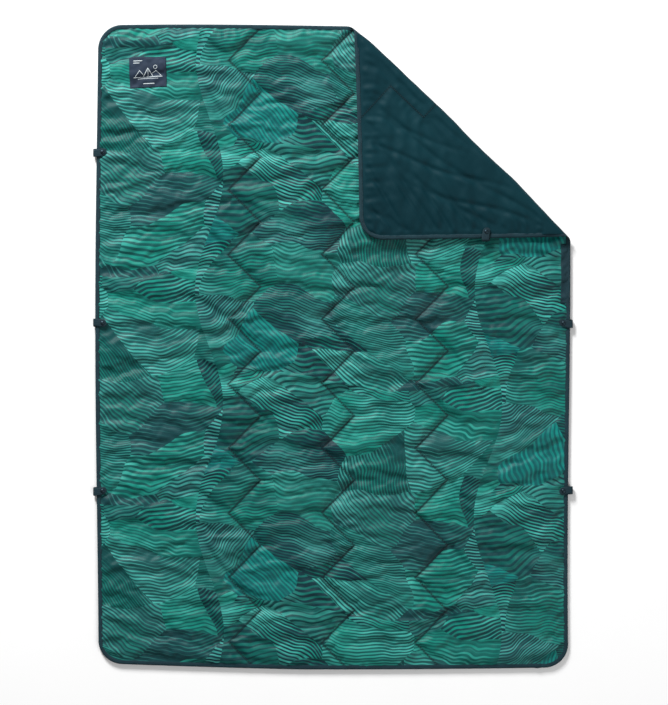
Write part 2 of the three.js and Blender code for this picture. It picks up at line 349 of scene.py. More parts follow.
def make_face():
    """Flat points, finer than the simulation's grid; the face's own; how far from a seam."""
    height = puffed_height(coarse_x, coarse_y)
    points = np.stack([coarse_x, coarse_y, height], -1)
    sewn = (seam_distance(coarse_x, coarse_y) < 1 * MM) | (edge_distance(coarse_x, coarse_y) < 1 * MM)
    points = simulate(points, sewn)
    fine = refine(points)
    flat_x = refine(coarse_x)
    flat_y = refine(coarse_y)
    distance = seam_distance(flat_x, flat_y)
    z = fine[..., 2] + fine_puckers(
        flat_x, flat_y, SEED + 1, heading=math.pi / 2, fold_depth=0.8 * MM, families=16
    )
    over = np.clip(z - FACE_CREST_Z, 0, None)
    most_over = 2.6 * MM
    z = z - over + most_over * (1 - np.exp(-over / most_over))
    near_rim = 1 - swell(edge_distance(flat_x, flat_y) - RIM_HELD, reach=60 * MM, power=2)
    z = np.maximum(z, FACE_LOWEST_Z + (FACE_RIM_Z - FACE_LOWEST_Z) * near_rim)
    z = z + (FACE_SEAM_Z - z) * np.exp(-((distance / GROOVE_HALF_WIDTH) ** 2))
    return flat_x, flat_y, fine[..., 0], fine[..., 1], z, distance


flat_x, flat_y, face_x, face_y, face_z, seam = make_face()
grid_x_lines = flat_x[:, 0]
grid_y_lines = flat_y[0]
on_corner = corner_share(flat_x, flat_y)


def around_each(values, reach, pick):
    """Picks one value, such as the lowest, from the window of grid points around each."""
    for axis in (0, 1):
        widths = [(reach, reach) if each == axis else (0, 0) for each in (0, 1)]
        padded = np.pad(values, widths, mode="edge")
        windows = np.lib.stride_tricks.sliding_window_view(padded, 2 * reach + 1, axis=axis)
        values = pick(windows, axis=-1)
    return values


def share_relief():
    """Splits the puffs between the cloths: mostly in the face, in both on the folded corner."""
    relief = LOFT - face_z
    inset = edge_distance(flat_x, flat_y)
    wide = (relief + np.roll(relief, 1, 0) + np.roll(relief, -1, 0)) / 3
    wide = (wide + np.roll(wide, 1, 1) + np.roll(wide, -1, 1)) / 3
    near_rim = 1 - swell(inset - RIM_HELD, reach=60 * MM, power=2)
    droop = 1.5 * MM * near_rim * on_corner
    face_share = 1 - 0.4 * on_corner
    lining_share = 0.19 + 0.41 * on_corner
    upper = LOFT - relief * face_share + droop
    gathers = fine_puckers(flat_x, flat_y, SEED + 2, heading=0.5, fold_depth=-3 * MM, families=6)
    free = smooth(inset, 4 * MM, 16 * MM) * (1 - np.exp(-((seam / (7 * MM)) ** 2)))
    at_rim = 1 - swell(inset - RIM_HELD, reach=35 * MM, power=2)
    lower = np.maximum(wide * lining_share, (LINING_RIM_Z + 3.7 * MM * on_corner) * at_rim)
    lower = lower + 1.7 * on_corner * free * gathers + droop
    lower = np.clip(lower, 0, around_each(upper, 2 * FILLING_REACH, np.min) - LEAST_LOFT)
    return np.minimum(upper, LOFT + 0.4 * MM), lower


upper_z, lower_z = share_relief()


def placed(x, y, z):
    return fold(*settle(*round_corners(x, y)), z)


face_points = placed(face_x, face_y, upper_z)
lining_points = placed(flat_x, flat_y, lower_z)


def on_grid(points, x, y):
    """A point of a cloth over each flat x, y, between the grid's points."""
    i = np.clip(np.searchsorted(grid_x_lines, x) - 1, 0, len(grid_x_lines) - 2)
    j = np.clip(np.searchsorted(grid_y_lines, y) - 1, 0, len(grid_y_lines) - 2)
    a = ((x - grid_x_lines[i]) / (grid_x_lines[i + 1] - grid_x_lines[i]))[..., None]
    b = ((y - grid_y_lines[j]) / (grid_y_lines[j + 1] - grid_y_lines[j]))[..., None]
    low = points[i, j] * (1 - a) + points[i + 1, j] * a
    high = points[i, j + 1] * (1 - a) + points[i + 1, j + 1] * a
    return low * (1 - b) + high * b


def normals_of(points):
    return unit(np.cross(np.gradient(points, axis=0), np.gradient(points, axis=1)))


face_normals = normals_of(face_points)
lining_normals = -normals_of(lining_points)

# ---------- meshes ----------


def make_piece(name, points, faces, material, flat=None, seams=None):
    mesh = bpy.data.meshes.new(name)
    mesh.from_pydata(np.asarray(points).reshape(-1, 3).tolist(), [], faces)
    mesh.update()
    mesh.polygons.foreach_set("use_smooth", [True] * len(mesh.polygons))
    attributes = [("flat", "FLOAT_VECTOR", "vector", flat), ("seam", "FLOAT", "value", seams)]
    for key, kind, field, values in attributes:
        if values is not None:
            attribute = mesh.attributes.new(key, kind, "POINT")
            attribute.data.foreach_set(field, np.asarray(values, np.float32).reshape(-1))
    mesh.materials.append(material)
    piece = bpy.data.objects.new(name, mesh)
    bpy.context.scene.collection.objects.link(piece)
    return piece


def tube_faces(rings, sides):
    """Quads round a tube, and a face at each end."""
    faces = grid_quads(rings, sides, wrap_columns=True).tolist()
    last = (rings - 1) * sides
    faces.append(list(range(sides)))
    faces.append([last + sides - 1 - step for step in range(sides)])
    return faces


def slab_faces(cells, count):
    """A thin solid's faces: the upper cells, the same ones count points on, and the walls."""
    edges = np.concatenate([cells[:, [first, (first + 1) % 4]] for first in range(4)])
    shared = np.isin(edges[:, 0] * count + edges[:, 1], edges[:, 1] * count + edges[:, 0])
    start, end = edges[~shared].T
    walls = np.stack([end, start, start + count, end + count], -1)
    return np.concatenate([cells, cells[:, ::-1] + count, walls])


def flat_attribute(x, y):
    return np.stack([x, y, np.zeros_like(x)], -1)


LATHE_STEPS = 40


def lathe(name, profile, material, transform):
    """Turns a closed profile of radius and height round the local Z axis."""
    angles = np.linspace(0, 2 * np.pi, LATHE_STEPS, endpoint=False)
    radius, height = np.array(profile, float).T
    circle = np.stack([np.cos(angles), np.sin(angles), np.ones(LATHE_STEPS)], -1)
    points = circle[:, None] * np.stack([radius, radius, height], -1)
    quads = grid_quads(LATHE_STEPS, len(profile), wrap_rows=True, wrap_columns=True)
    piece = make_piece(name, transform(points), quads.tolist(), material)
    weld(piece)
    return piece


def weld(piece):
    """Merges the points that a turned profile leaves on its axis, and drops faces of no area."""
    modifier = piece.modifiers.new("Weld", "WELD")
    modifier.merge_threshold = 0.01 * MM
    shaped = piece.evaluated_get(bpy.context.evaluated_depsgraph_get())
    mesh = bpy.data.meshes.new_from_object(shaped)
    piece.modifiers.clear()
    piece.data = mesh


STITCH_SIDES = 6
# Along a stitch: share of its length, then its width and height as shares of its radius.
STITCH_STATIONS = [
    (0.0, 0.3, -0.9), (0.14, 0.9, 0.2), (0.5, 1.1, 0.75), (0.86, 0.9, 0.2), (1.0, 0.3, -0.9)
]


def closed_route(corners, steps):
    """Points along a closed outline with straight sides."""
    corners = np.array(corners, float)
    turns = np.arange(steps)[:, None] / steps
    return np.concatenate([a + (b - a) * turns for a, b in zip(corners, np.roll(corners, -1, 0))])


def stitches(name, rows, gap, radius, material):
    """One small arched loop of thread from each point to the following one.

    A row holds the points, the ones that follow and the way up. The gap is a share of the step.
    """
    points, following, ups = (np.concatenate(part) for part in zip(*rows))
    starts = points + gap * (following - points)
    ends = points + (1 - gap) * (following - points)
    keep = np.linalg.norm(ends - starts, axis=1) > 1 * MM
    starts, ends, ups = starts[keep], ends[keep], ups[keep]
    along = unit(ends - starts)
    side = unit(np.cross(ups, along))
    up = np.cross(along, side)
    rings = []
    for share, width, lift in STITCH_STATIONS:
        centre = starts + (ends - starts) * share + up * (lift * radius)
        for step in range(STITCH_SIDES):
            angle = 2 * math.pi * step / STITCH_SIDES
            turn = side * math.cos(angle) + up * math.sin(angle)
            rings.append(centre + turn * (radius * width))
    loop = [face[::-1] for face in tube_faces(len(STITCH_STATIONS), STITCH_SIDES)]
    faces = []
    for base in range(0, len(starts) * len(rings), len(rings)):
        faces.extend([point + base for point in face] for face in loop)
    return make_piece(name, np.stack(rings, 1), faces, material)


# ---------- materials ----------


def srgb(red, green, blue):
    """A colour written as 0 to 255 per channel, as the linear values that shaders take."""
    share = np.array([red, green, blue]) / 255
    linear = np.where(share <= 0.04045, share / 12.92, ((share + 0.055) / 1.055) ** 2.4)
    return (*linear.tolist(), 1.0)


class Shader:
    """A material under construction: nodes are made and linked by short calls."""

    def __init__(self, name, metallic=0.0, sheen=0.0, specular=0.5):
        self.material = bpy.data.materials.new(name)
        self.material.use_nodes = True
        self.tree = self.material.node_tree
        self.surface = self.tree.nodes["Principled BSDF"]
        self.put(self.surface.inputs["Metallic"], metallic)
        self.put(self.surface.inputs["Sheen Weight"], sheen)
        self.put(self.surface.inputs["Sheen Roughness"], 0.5)
        self.put(self.surface.inputs["Specular IOR Level"], specular)

    def put(self, socket, value):
        if isinstance(value, bpy.types.NodeSocket):
            self.tree.links.new(value, socket)
        else:
            socket.default_value = value

    def node(self, kind, inputs, output=0, **settings):
        made = self.tree.nodes.new(kind)
        for key, value in settings.items():
            setattr(made, key, value)
        for key, value in inputs.items():
            self.put(made.inputs[key], value)
        return made.outputs[output]

    def maths(self, operation, first, second=0.0):
        return self.node("ShaderNodeMath", {0: first, 1: second}, operation=operation)

    def add(self, first, second):
        return self.maths("ADD", first, second)

    def times(self, first, second):
        return self.maths("MULTIPLY", first, second)

    def blend_value(self, share, low, high):
        """low where share is 0, high where it is 1."""
        return self.node("ShaderNodeMapRange", {0: share, 3: low, 4: high})

    def ramp(self, value, low, high):
        """0 up to low, 1 from high on, smooth between."""
        inputs = {0: value, 1: low, 2: high}
        return self.node("ShaderNodeMapRange", inputs, interpolation_type="SMOOTHSTEP")

    def mix(self, share, first, second):
        inputs = {0: share, 6: first, 7: second}
        return self.node("ShaderNodeMix", inputs, output=2, data_type="RGBA")

    def noise(self, vector, scale, detail=2.0):
        inputs = {"Vector": vector, "Scale": scale, "Detail": detail}
        return self.node("ShaderNodeTexNoise", inputs)

    def wander(self, noise, size):
        """A noise as a shift to both sides, size across."""
        return self.times(self.add(noise, -0.5), size)

    def other(self, value, factor):
        """Another random number of a facet, from one that it has."""
        return self.maths("FRACT", self.times(value, factor))

    def attribute(self, name, output="Vector"):
        return self.node("ShaderNodeAttribute", {}, output=output, attribute_name=name)

    def place(self):
        """The point of the object, in metres in the part's frame."""
        return self.node("ShaderNodeTexCoord", {}, output="Object")

    def split(self, vector):
        made = self.tree.nodes.new("ShaderNodeSeparateXYZ")
        self.put(made.inputs[0], vector)
        return made.outputs

    def join(self, x, y, z=0.0):
        return self.node("ShaderNodeCombineXYZ", {0: x, 1: y, 2: z})

    def stripes(self, distance, pitch):
        """-1 to 1, once per pitch along distance."""
        return self.maths("SINE", self.times(distance, 2 * math.pi / pitch))

    def weave(self, x, y, pitch):
        """Height of a plain weave: two crossed sets of ribs."""
        ribs = self.times(self.stripes(x, pitch), self.stripes(y, pitch))
        return self.add(self.times(ribs, 0.5), 0.5)

    def finish(self, colour, roughness, height=None, distance=0.0, strength=0.0):
        """Plugs in the colour, the roughness and a bump of this height, distance and strength."""
        self.put(self.surface.inputs["Base Color"], colour)
        self.put(self.surface.inputs["Roughness"], roughness)
        if height is not None:
            inputs = {"Height": height, "Distance": distance, "Strength": strength}
            self.put(self.surface.inputs["Normal"], self.node("ShaderNodeBump", inputs))
        return self.material


REPEAT_X = 0.813  # the print's repeat, each column dropped by half a repeat
REPEAT_Y = 0.668
REPEAT_START = (0.36, 0.1)
FACETS_PER_METRE = 7.5
FACET_WIDENING = 0.72
LINE_PITCH = (7.5 * MM, 14.5 * MM)
GROUND = srgb(4, 42, 52)
LINE_GREEN = srgb(4, 130, 114)
LINE_LIGHT = srgb(74, 178, 168)
PALE_GREEN = srgb(52, 128, 122)
BLUE_GROUND = srgb(4, 84, 86)
BLUE_LINE = srgb(8, 126, 118)


def print_repeat(s, x, y):
    """Place within the print's repeat. The repeats' borders sway, so that no seam shows."""
    sway = s.times(s.stripes(y, REPEAT_Y), 0.05)
    across = s.add(s.times(s.add(x, REPEAT_START[0]), 1 / REPEAT_X), sway)
    drop = s.times(s.maths("FLOOR", across), REPEAT_Y / 2)
    down = s.add(s.add(y, drop), s.times(s.stripes(x, REPEAT_X), 30 * MM))
    down = s.times(s.add(down, REPEAT_START[1]), 1 / REPEAT_Y)
    tile_x = s.times(s.maths("FRACT", across), REPEAT_X)
    return tile_x, s.times(s.maths("FRACT", down), REPEAT_Y)


def print_facets(s, tile_x, tile_y):
    """Three random numbers for each facet: cells with bent borders, wider than they are long."""
    drift_x = s.noise(s.join(tile_x, tile_y), 5.0, detail=1.0)
    drift_y = s.noise(s.join(tile_y, tile_x, 3.0), 6.0, detail=1.0)
    bent_x = s.add(tile_x, s.wander(drift_x, 0.12))
    bent_y = s.add(tile_y, s.wander(drift_y, 0.1))
    place = s.join(s.times(bent_x, FACET_WIDENING), bent_y)
    inputs = {"Vector": place, "Scale": FACETS_PER_METRE}
    settings = {"output": "Color", "voronoi_dimensions": "2D"}
    return s.split(s.node("ShaderNodeTexVoronoi", inputs, **settings))


def print_lines(s, tile_x, tile_y, red, green, blue):
    """1 on a printed line, 0 between: each facet's wavy lines have an angle and a pitch."""
    angle = s.add(s.wander(red, 0.85), s.times(s.ramp(blue, 0.86, 0.88), 0.9))
    cosine = s.maths("COSINE", angle)
    sine = s.maths("SINE", angle)
    across_lines = s.add(s.times(tile_y, cosine), s.times(tile_x, sine))
    along_lines = s.add(s.times(tile_x, cosine), s.times(s.times(tile_y, sine), -1.0))
    line_place = s.join(along_lines, s.times(across_lines, 0.4), s.times(green, 9.0))
    slow = s.wander(s.noise(line_place, 6.5, detail=0.0), 0.12)
    quick = s.wander(s.noise(line_place, 24.0, detail=0.0), 0.016)
    place = s.add(across_lines, s.add(slow, quick))
    pitch = s.blend_value(green, *LINE_PITCH)
    wave = s.maths("SINE", s.times(s.maths("DIVIDE", place, pitch), 2 * math.pi))
    weight = s.noise(s.join(tile_x, tile_y, blue), 7.0, detail=1.0)
    level = s.add(s.blend_value(weight, 2.0, -2.1), s.wander(s.other(green, 7.3), 0.5))
    brush = s.noise(s.join(s.times(place, 110.0), s.times(tile_x, 6.0), green), 1.0)
    line = s.ramp(wave, s.add(level, -0.5), s.add(level, 0.55))
    return s.times(line, s.ramp(brush, 0.2, 0.62))


def print_cloth():
    """Ripstop printed with facets of fine wavy lines, in a half-drop repeat."""
    s = Shader("printed_ripstop", specular=0.16)
    flat = s.attribute("flat")
    x, y, _ = s.split(flat)
    tile_x, tile_y = print_repeat(s, x, y)
    red, green, blue = print_facets(s, tile_x, tile_y)
    line = print_lines(s, tile_x, tile_y, red, green, blue)
    tint = s.noise(s.join(tile_x, tile_y, red), 6.0, detail=1.0)
    line_colour = s.mix(s.ramp(tint, 0.36, 0.68), LINE_GREEN, LINE_LIGHT)
    colour = s.mix(line, GROUND, line_colour)
    colour = s.mix(s.ramp(s.other(blue, 3.9), 0.35, 1.6), colour, LINE_GREEN)
    pale = s.times(s.ramp(s.other(green, 5.3), 0.66, 1.0), 0.35)
    colour = s.mix(pale, colour, PALE_GREEN)
    shade = s.times(s.ramp(s.other(red, 4.7), 0.35, 0.95), 0.55)
    colour = s.mix(shade, colour, GROUND)
    is_blue = s.ramp(s.other(red, 5.7), 0.86, 0.87)
    colour = s.mix(is_blue, colour, s.mix(line, BLUE_GROUND, BLUE_LINE))
    dust = s.noise(flat, 60.0, detail=4.0)
    colour = s.mix(s.blend_value(dust, 0.0, 0.1), colour, srgb(60, 110, 104))
    # Painted shade: the face darkens towards the quilting seams, a soft band within 20 mm and a dark
    # line within 5 mm, standing in for shade in their grooves.
    near_seam = s.attribute("seam", "Fac")
    colour = s.mix(s.times(s.ramp(near_seam, 20 * MM, 0.0), 0.2), colour, srgb(6, 34, 40))
    colour = s.mix(s.times(s.ramp(near_seam, 5 * MM, 1 * MM), 0.7), colour, srgb(4, 18, 24))
    ripstop = s.maths("MAXIMUM", *(s.ramp(s.stripes(way, 6 * MM), 0.8, 1.0) for way in (x, y)))
    height = s.add(s.weave(x, y, 1.6 * MM), s.times(ripstop, 0.8))
    roughness = s.blend_value(s.noise(flat, 9.0, detail=3.0), 0.42, 0.6)
    return s.finish(colour, roughness, height, 0.12 * MM, 0.6)


def lining_cloth():
    s = Shader("lining_cloth", specular=0.08)
    flat = s.attribute("flat")
    x, y, _ = s.split(flat)
    cloud = s.noise(flat, 4.0, detail=4.0)
    grain = s.noise(flat, 300.0)
    colour = s.mix(s.ramp(cloud, 0.3, 0.7), srgb(4, 38, 46), srgb(8, 46, 54))
    colour = s.mix(s.blend_value(grain, 0.0, 0.25), colour, srgb(22, 62, 70))
    # Painted shade: the lining darkens towards the quilting seams, a soft band within 14 mm and a
    # dark line within 4 mm, standing in for shade in their grooves.
    near_seam = s.attribute("seam", "Fac")
    colour = s.mix(s.times(s.ramp(near_seam, 14 * MM, 0.0), 0.2), colour, srgb(2, 20, 26))
    colour = s.mix(s.times(s.ramp(near_seam, 4 * MM, 1 * MM), 0.5), colour, srgb(1, 12, 16))
    roughness = s.blend_value(cloud, 0.55, 0.68)
    return s.finish(colour, roughness, s.weave(x, y, 1.4 * MM), 0.05 * MM, 0.6)


def tape(name, dark, light, pitch):
    """Ribbed woven tape. Its flat attribute runs along the tape and across it."""
    s = Shader(name, sheen=0.05, specular=0.2)
    flat = s.attribute("flat")
    along, across, _ = s.split(flat)
    ribs = s.stripes(along, pitch)
    cloud = s.noise(flat, 25.0, detail=3.0)
    fuzz = s.noise(flat, 700.0)
    colour = s.mix(s.ramp(cloud, 0.3, 0.7), dark, light)
    colour = s.mix(s.blend_value(fuzz, 0.0, 0.25), colour, srgb(40, 70, 76))
    # Painted shade: the tape is darker in the valleys between its ribs, where the bump is low.
    colour = s.mix(s.blend_value(ribs, 0.1, 0.0), colour, srgb(8, 16, 20))
    height = s.add(ribs, s.stripes(across, 2.3 * pitch))
    return s.finish(colour, s.blend_value(fuzz, 0.62, 0.8), height, 0.15 * MM, 0.7)


def thread_material(name, dark, light):
    s = Shader(name, sheen=0.05, specular=0.3)
    inputs = {"Vector": s.place(), "Scale": 900.0, "Distortion": 1.0}
    twist = s.node("ShaderNodeTexWave", inputs)
    # Painted light and shade: the thread is lighter on the twist's crests and darker in its grooves,
    # following the same twist as the bump.
    return s.finish(s.mix(twist, dark, light), 0.6, twist, 0.08 * MM, 0.6)


def metal(name, dark, light):
    s = Shader(name, metallic=0.9)
    place = s.place()
    wear = s.noise(place, 420.0, detail=4.0)
    scratch = s.noise(place, 1600.0)
    colour = s.mix(s.ramp(wear, 0.35, 0.7), dark, light)
    return s.finish(colour, s.blend_value(scratch, 0.32, 0.52), scratch, 0.02 * MM, 0.5)


def batting_material():
    s = Shader("batting_fibre", sheen=0.3, specular=0.1)
    tuft = s.noise(s.place(), 220.0, detail=5.0)
    # Painted shade: the batting is darker where its tufts are low and lighter on their tops,
    # following the same tuft noise as the bump.
    colour = s.mix(tuft, srgb(206, 210, 208), srgb(242, 243, 240))
    return s.finish(colour, 0.95, tuft, 0.6 * MM, 0.8)


def label_cloth():
    s = Shader("label_cloth", sheen=0.03, specular=0.25)
    flat = s.attribute("flat")
    x, y, _ = s.split(flat)
    cloud = s.noise(flat, 40.0, detail=3.0)
    colour = s.mix(s.ramp(cloud, 0.3, 0.7), srgb(24, 36, 54), srgb(32, 46, 64))
    roughness = s.blend_value(cloud, 0.68, 0.82)
    return s.finish(colour, roughness, s.weave(x, y, 1.2 * MM), 0.08 * MM, 0.5)


def label_ink():
    s = Shader("label_ink", specular=0.35)
    speck = s.noise(s.place(), 900.0, detail=3.0)
    colour = s.mix(s.ramp(speck, 0.3, 0.6), srgb(150, 166, 172), srgb(205, 214, 216))
    return s.finish(colour, 0.6, speck, 0.05 * MM, 0.4)


PRINT = print_cloth()
LINING = lining_cloth()
BINDING = tape("binding_tape", srgb(8, 38, 48), srgb(16, 50, 60), 1.6 * MM)
WEBBING = tape("webbing_tape", srgb(8, 28, 38), srgb(16, 40, 50), 2.2 * MM)
THREAD = thread_material("quilt_thread", srgb(12, 34, 42), srgb(24, 54, 62))
EDGE_THREAD = thread_material("edge_thread", srgb(18, 40, 50), srgb(38, 66, 76))
METAL = metal("snap_metal", srgb(112, 122, 130), srgb(168, 176, 182))
DARK_METAL = metal("snap_cap_metal", srgb(26, 40, 48), srgb(52, 68, 76))
BATTING = batting_material()
LABEL = label_cloth()
LABEL_INK = label_ink()

# ---------- cloths and filling ----------


def crosses_fold(piece):
    """Bakes the piece's transform into its mesh; its points were already laid over the crease by
    fold().
    """
    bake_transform(piece)


rows, columns = flat_x.shape
quads = grid_quads(rows, columns)
cloth_flat = flat_attribute(flat_x, flat_y)

face_cloth = make_piece(
    "face_cloth", face_points, quads.tolist(), PRINT, cloth_flat, seam
)
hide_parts("main_face", "corner_face")
crosses_fold(face_cloth)

lining = make_piece(
    "lining_cloth", lining_points, quads[:, ::-1].tolist(), LINING, cloth_flat, seam
)
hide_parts("main_lining", "corner_lining")
crosses_fold(lining)


def filling_pad(name, side):
    """The batting on one side of the crease (-1 main, 1 corner): a pad just inside the cloths."""
    top = around_each(upper_z - 1.5 * MM, FILLING_REACH, np.min)
    base = around_each(lower_z + 0.7 * MM, FILLING_REACH, np.max)
    inner = (slice(2, -2, 2), slice(2, -2, 2))
    x, y = flat_x[inner], flat_y[inner]
    inside = (side * beyond_crease(x, y) > FILLING_GAP) & (edge_distance(x, y) > FILLING_INSET)
    cells = grid_quads(*x.shape)
    cells = cells[inside.reshape(-1)[cells].all(axis=1)]
    used, corners = np.unique(cells, return_inverse=True)
    cells = corners.reshape(-1, 4)
    upper = placed(x, y, top[inner]).reshape(-1, 3)[used]
    lower = placed(x, y, base[inner]).reshape(-1, 3)[used]
    faces = slab_faces(cells, len(used)).tolist()
    return make_piece(name, np.concatenate([upper, lower]), faces, BATTING)


main_filling = filling_pad("main_filling", -1)
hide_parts("main_batting")
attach(main_filling, "root")

corner_filling = filling_pad("corner_filling", 1)
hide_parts("corner_batting")
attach(corner_filling, "corner")

# ---------- edge binding ----------

# Cross-section of the folded tape: inset from the edge and height from its centre, in mm.
BINDING_OUTSIDE = [(12.4, 2.9), (11.6, 3.6), (9.2, 3.8), (6, 4.2), (2.8, 3.6), (0.9, 2.2), (0, 0)]
BINDING_INSIDE = [(1, 0), (1.7, 1.6), (3.2, 2.8), (6, 3.3), (9.2, 2.9), (12.2, 2.2)]
BINDING_SEAM_INSET = 9.4 * MM
BINDING_JOIN_X = 0.6


def rim_path(step):
    """The flat outline, counter-clockwise: points, outward normals and lengths along it."""
    points = []
    for quarter, (side_x, side_y) in enumerate([(1, 1), (-1, 1), (-1, -1), (1, -1)]):
        centre = (side_x * (HALF_WIDTH - CORNER_RADIUS), side_y * (HALF_LENGTH - CORNER_RADIUS))
        arc_steps = round(CORNER_RADIUS * math.pi / 2 / step)
        for turn in np.linspace(0, 1, arc_steps + 1):
            angle = math.pi / 2 * (quarter + turn)
            points.append((*centre, math.cos(angle), math.sin(angle)))
        straight = (HALF_WIDTH if quarter % 2 == 0 else HALF_LENGTH) - CORNER_RADIUS
        steps = round(2 * straight / step)
        out = (math.cos(math.pi / 2 * (quarter + 1)), math.sin(math.pi / 2 * (quarter + 1)))
        for turn in np.arange(1, steps) / steps:
            run = (-out[1] * 2 * straight * turn, out[0] * 2 * straight * turn)
            points.append((centre[0] + run[0], centre[1] + run[1], *out))
    path = np.array(points)
    edge = path[:, :2] + CORNER_RADIUS * path[:, 2:]
    lengths = np.linalg.norm(np.roll(edge, -1, 0) - edge, axis=1)
    return edge, path[:, 2:], np.concatenate([[0], np.cumsum(lengths)[:-1]])


def rim_centre_z(x, y):
    return RIM_Z + (CORNER_RIM_Z - RIM_Z) * corner_share(x, y)


def on_binding(edge, out, inset, height):
    """A point of the binding, at an inset from the edge and a height from its centre line."""
    x = edge[..., 0] - inset * out[..., 0]
    y = edge[..., 1] - inset * out[..., 1]
    z = rim_centre_z(edge[..., 0], edge[..., 1]) + height
    return fold(*settle(x, y), z)


def binding_piece():
    edge, out, length = rim_path(5 * MM)
    upper = np.array(BINDING_OUTSIDE) * MM
    inner = np.array(BINDING_INSIDE) * MM
    mirror = np.array([1, -1])
    profile = np.concatenate([upper, (upper * mirror)[-2::-1], (inner * mirror)[::-1], inner[1:]])
    gather = np.sin(2 * np.pi * length / 0.019 + 2 * np.sin(31 * length))
    slow = np.sin(2 * np.pi * length / 0.083 + 1.3 * np.sin(5 * length))
    columns_made = []
    for inset, height in profile:
        tuck = math.exp(-(((inset - BINDING_SEAM_INSET) / (1.6 * MM)) ** 2))
        free_edge = inset / (12 * MM)
        moved = inset + free_edge * (0.35 * MM * gather + 0.5 * MM * slow)
        raised = height * (1 + 0.05 * slow - 0.1 * tuck + 0.07 * gather * free_edge)
        columns_made.append(on_binding(edge, out, moved, raised))
    points = np.stack(columns_made, 1)
    around = np.cumsum([0, *np.linalg.norm(np.diff(profile, axis=0), axis=1)])
    flat = flat_attribute(length[:, None] + 0 * around, around + 0 * length[:, None])
    faces = grid_quads(len(edge), len(profile), wrap_rows=True, wrap_columns=True)[:, ::-1]
    return make_piece("edge_binding", points, faces.tolist(), BINDING, flat)


binding = binding_piece()
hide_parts("main_binding", "corner_binding")
crosses_fold(binding)


def binding_join():
    """Where the tape's ends overlap: a short second layer round the edge, at the bottom right."""
    edge, out, _ = rim_path(3 * MM)
    to_join = np.hypot(edge[:, 0] - BINDING_JOIN_X, edge[:, 1] + HALF_LENGTH)
    first = int(np.argmin(to_join))
    stations = slice(first - 3, first + 4)
    upper = np.array(BINDING_OUTSIDE[1:]) * MM
    loop = np.concatenate([upper, (upper * np.array([1, -1]))[-2::-1]])
    bulge = np.array([0.2, 0.7, 1.1, 1.5, 1.1, 0.7, 0.2]) * MM
    rings = []
    for inset, height in loop:
        outer = on_binding(edge[stations], out[stations], inset - bulge, height * 1.16)
        inner = on_binding(edge[stations], out[stations], inset + 0.2 * MM, height * 0.97)
        rings.append(np.concatenate([outer, inner[::-1]]))
    points = np.array(rings)
    around, along = (np.arange(count) * 3 * MM for count in points.shape[:2])
    faces = tube_faces(*points.shape[:2])
    flat = flat_attribute(*np.meshgrid(along, around))
    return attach(make_piece("binding_join", points, faces, BINDING, flat), "root")


binding_join()


def binding_stitches():
    edge, out, _ = rim_path(4.6 * MM)
    sides = []
    for side in (1, -1):
        point = on_binding(edge, out, BINDING_SEAM_INSET, side * 3.5 * MM)
        higher = on_binding(edge, out, BINDING_SEAM_INSET, side * 4.5 * MM)
        sides.append((point, np.roll(point, -1, 0), (higher - point) / MM))
    return stitches("binding_stitches", sides, 0.12, 0.42 * MM, EDGE_THREAD)


crosses_fold(binding_stitches())

# ---------- quilting stitches ----------

STITCHES_PER_LEG = 21


def quilt_row(name, row, nodes):
    """Lock stitches along one zigzag, on the face and on the lining."""
    limit = GRID_HALF_Y - 3 * MM
    step = QUILT_STEP / STITCHES_PER_LEG
    first = math.floor((-limit - QUILT_VERTEX_Y) / step)
    last = math.ceil((limit - QUILT_VERTEX_Y) / step)
    y = np.clip(QUILT_VERTEX_Y + step * np.arange(first, last + 1), -limit, limit)
    x = zigzag_x(y, row)
    sides = []
    for points, normals in ((face_points, face_normals), (lining_points, lining_normals)):
        place = on_grid(points, x, y)
        sides.append((place[:-1], place[1:], on_grid(normals, x, y)[:-1]))
    piece = stitches(name, sides, 0.14, 0.55 * MM, THREAD)
    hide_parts(*nodes)
    return piece


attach(quilt_row("quilt_stitches_left", ROWS_X[0], ["quilt_thread_left"]), "root")
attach(quilt_row("quilt_stitches_middle", ROWS_X[1], ["quilt_thread_middle"]), "root")
right_row = quilt_row(
    "quilt_stitches_right", ROWS_X[2], ["quilt_thread_right", "corner_quilt_thread"]
)
crosses_fold(right_row)

# ---------- what is laid on the face ----------


def laid_slab(x, y, lift, thickness):
    """Points and faces of a thin closed slab that follows the face cloth's surface."""
    place = on_grid(face_points, x, y)
    up = on_grid(face_normals, x, y)
    lower = place + up * lift
    upper = place + up * (lift + thickness)
    points = np.concatenate([upper.reshape(-1, 3), lower.reshape(-1, 3)])
    flat = flat_attribute(np.tile(x.reshape(-1), 2), np.tile(y.reshape(-1), 2))
    return points, slab_faces(grid_quads(*x.shape), x.size), flat


label_low, label_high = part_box("label_patch")
LABEL_CENTRE = (label_low + label_high) / 2
LABEL_HALF = (54 * MM, 44 * MM)
LABEL_TILT = 0.035


def label_place(a, b):
    """Flat x, y of a label point, from its own coordinates in metres."""
    cos, sin = math.cos(LABEL_TILT), math.sin(LABEL_TILT)
    return LABEL_CENTRE.x + a * cos - b * sin, LABEL_CENTRE.y + a * sin + b * cos


def label_patch():
    a, b = np.meshgrid(
        np.linspace(-LABEL_HALF[0], LABEL_HALF[0], 37),
        np.linspace(-LABEL_HALF[1], LABEL_HALF[1], 31),
        indexing="ij",
    )
    x, y = label_place(a, b)
    points, faces, flat = laid_slab(x, y, 0.3 * MM, 0.8 * MM)
    piece = make_piece("label_patch_cloth", points, faces.tolist(), LABEL, flat)
    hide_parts("label_patch")
    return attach(piece, "root")


def label_stitches():
    half = np.array(LABEL_HALF) - 3 * MM
    x, y = label_place(*closed_route(half * [(1, 1), (-1, 1), (-1, -1), (1, -1)], 26).T)
    up = on_grid(face_normals, x, y)
    place = on_grid(face_points, x, y) + up * 1.1 * MM
    row = (place, np.roll(place, -1, 0), up)
    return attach(stitches("label_stitches", [row], 0.15, 0.3 * MM, EDGE_THREAD), "root")


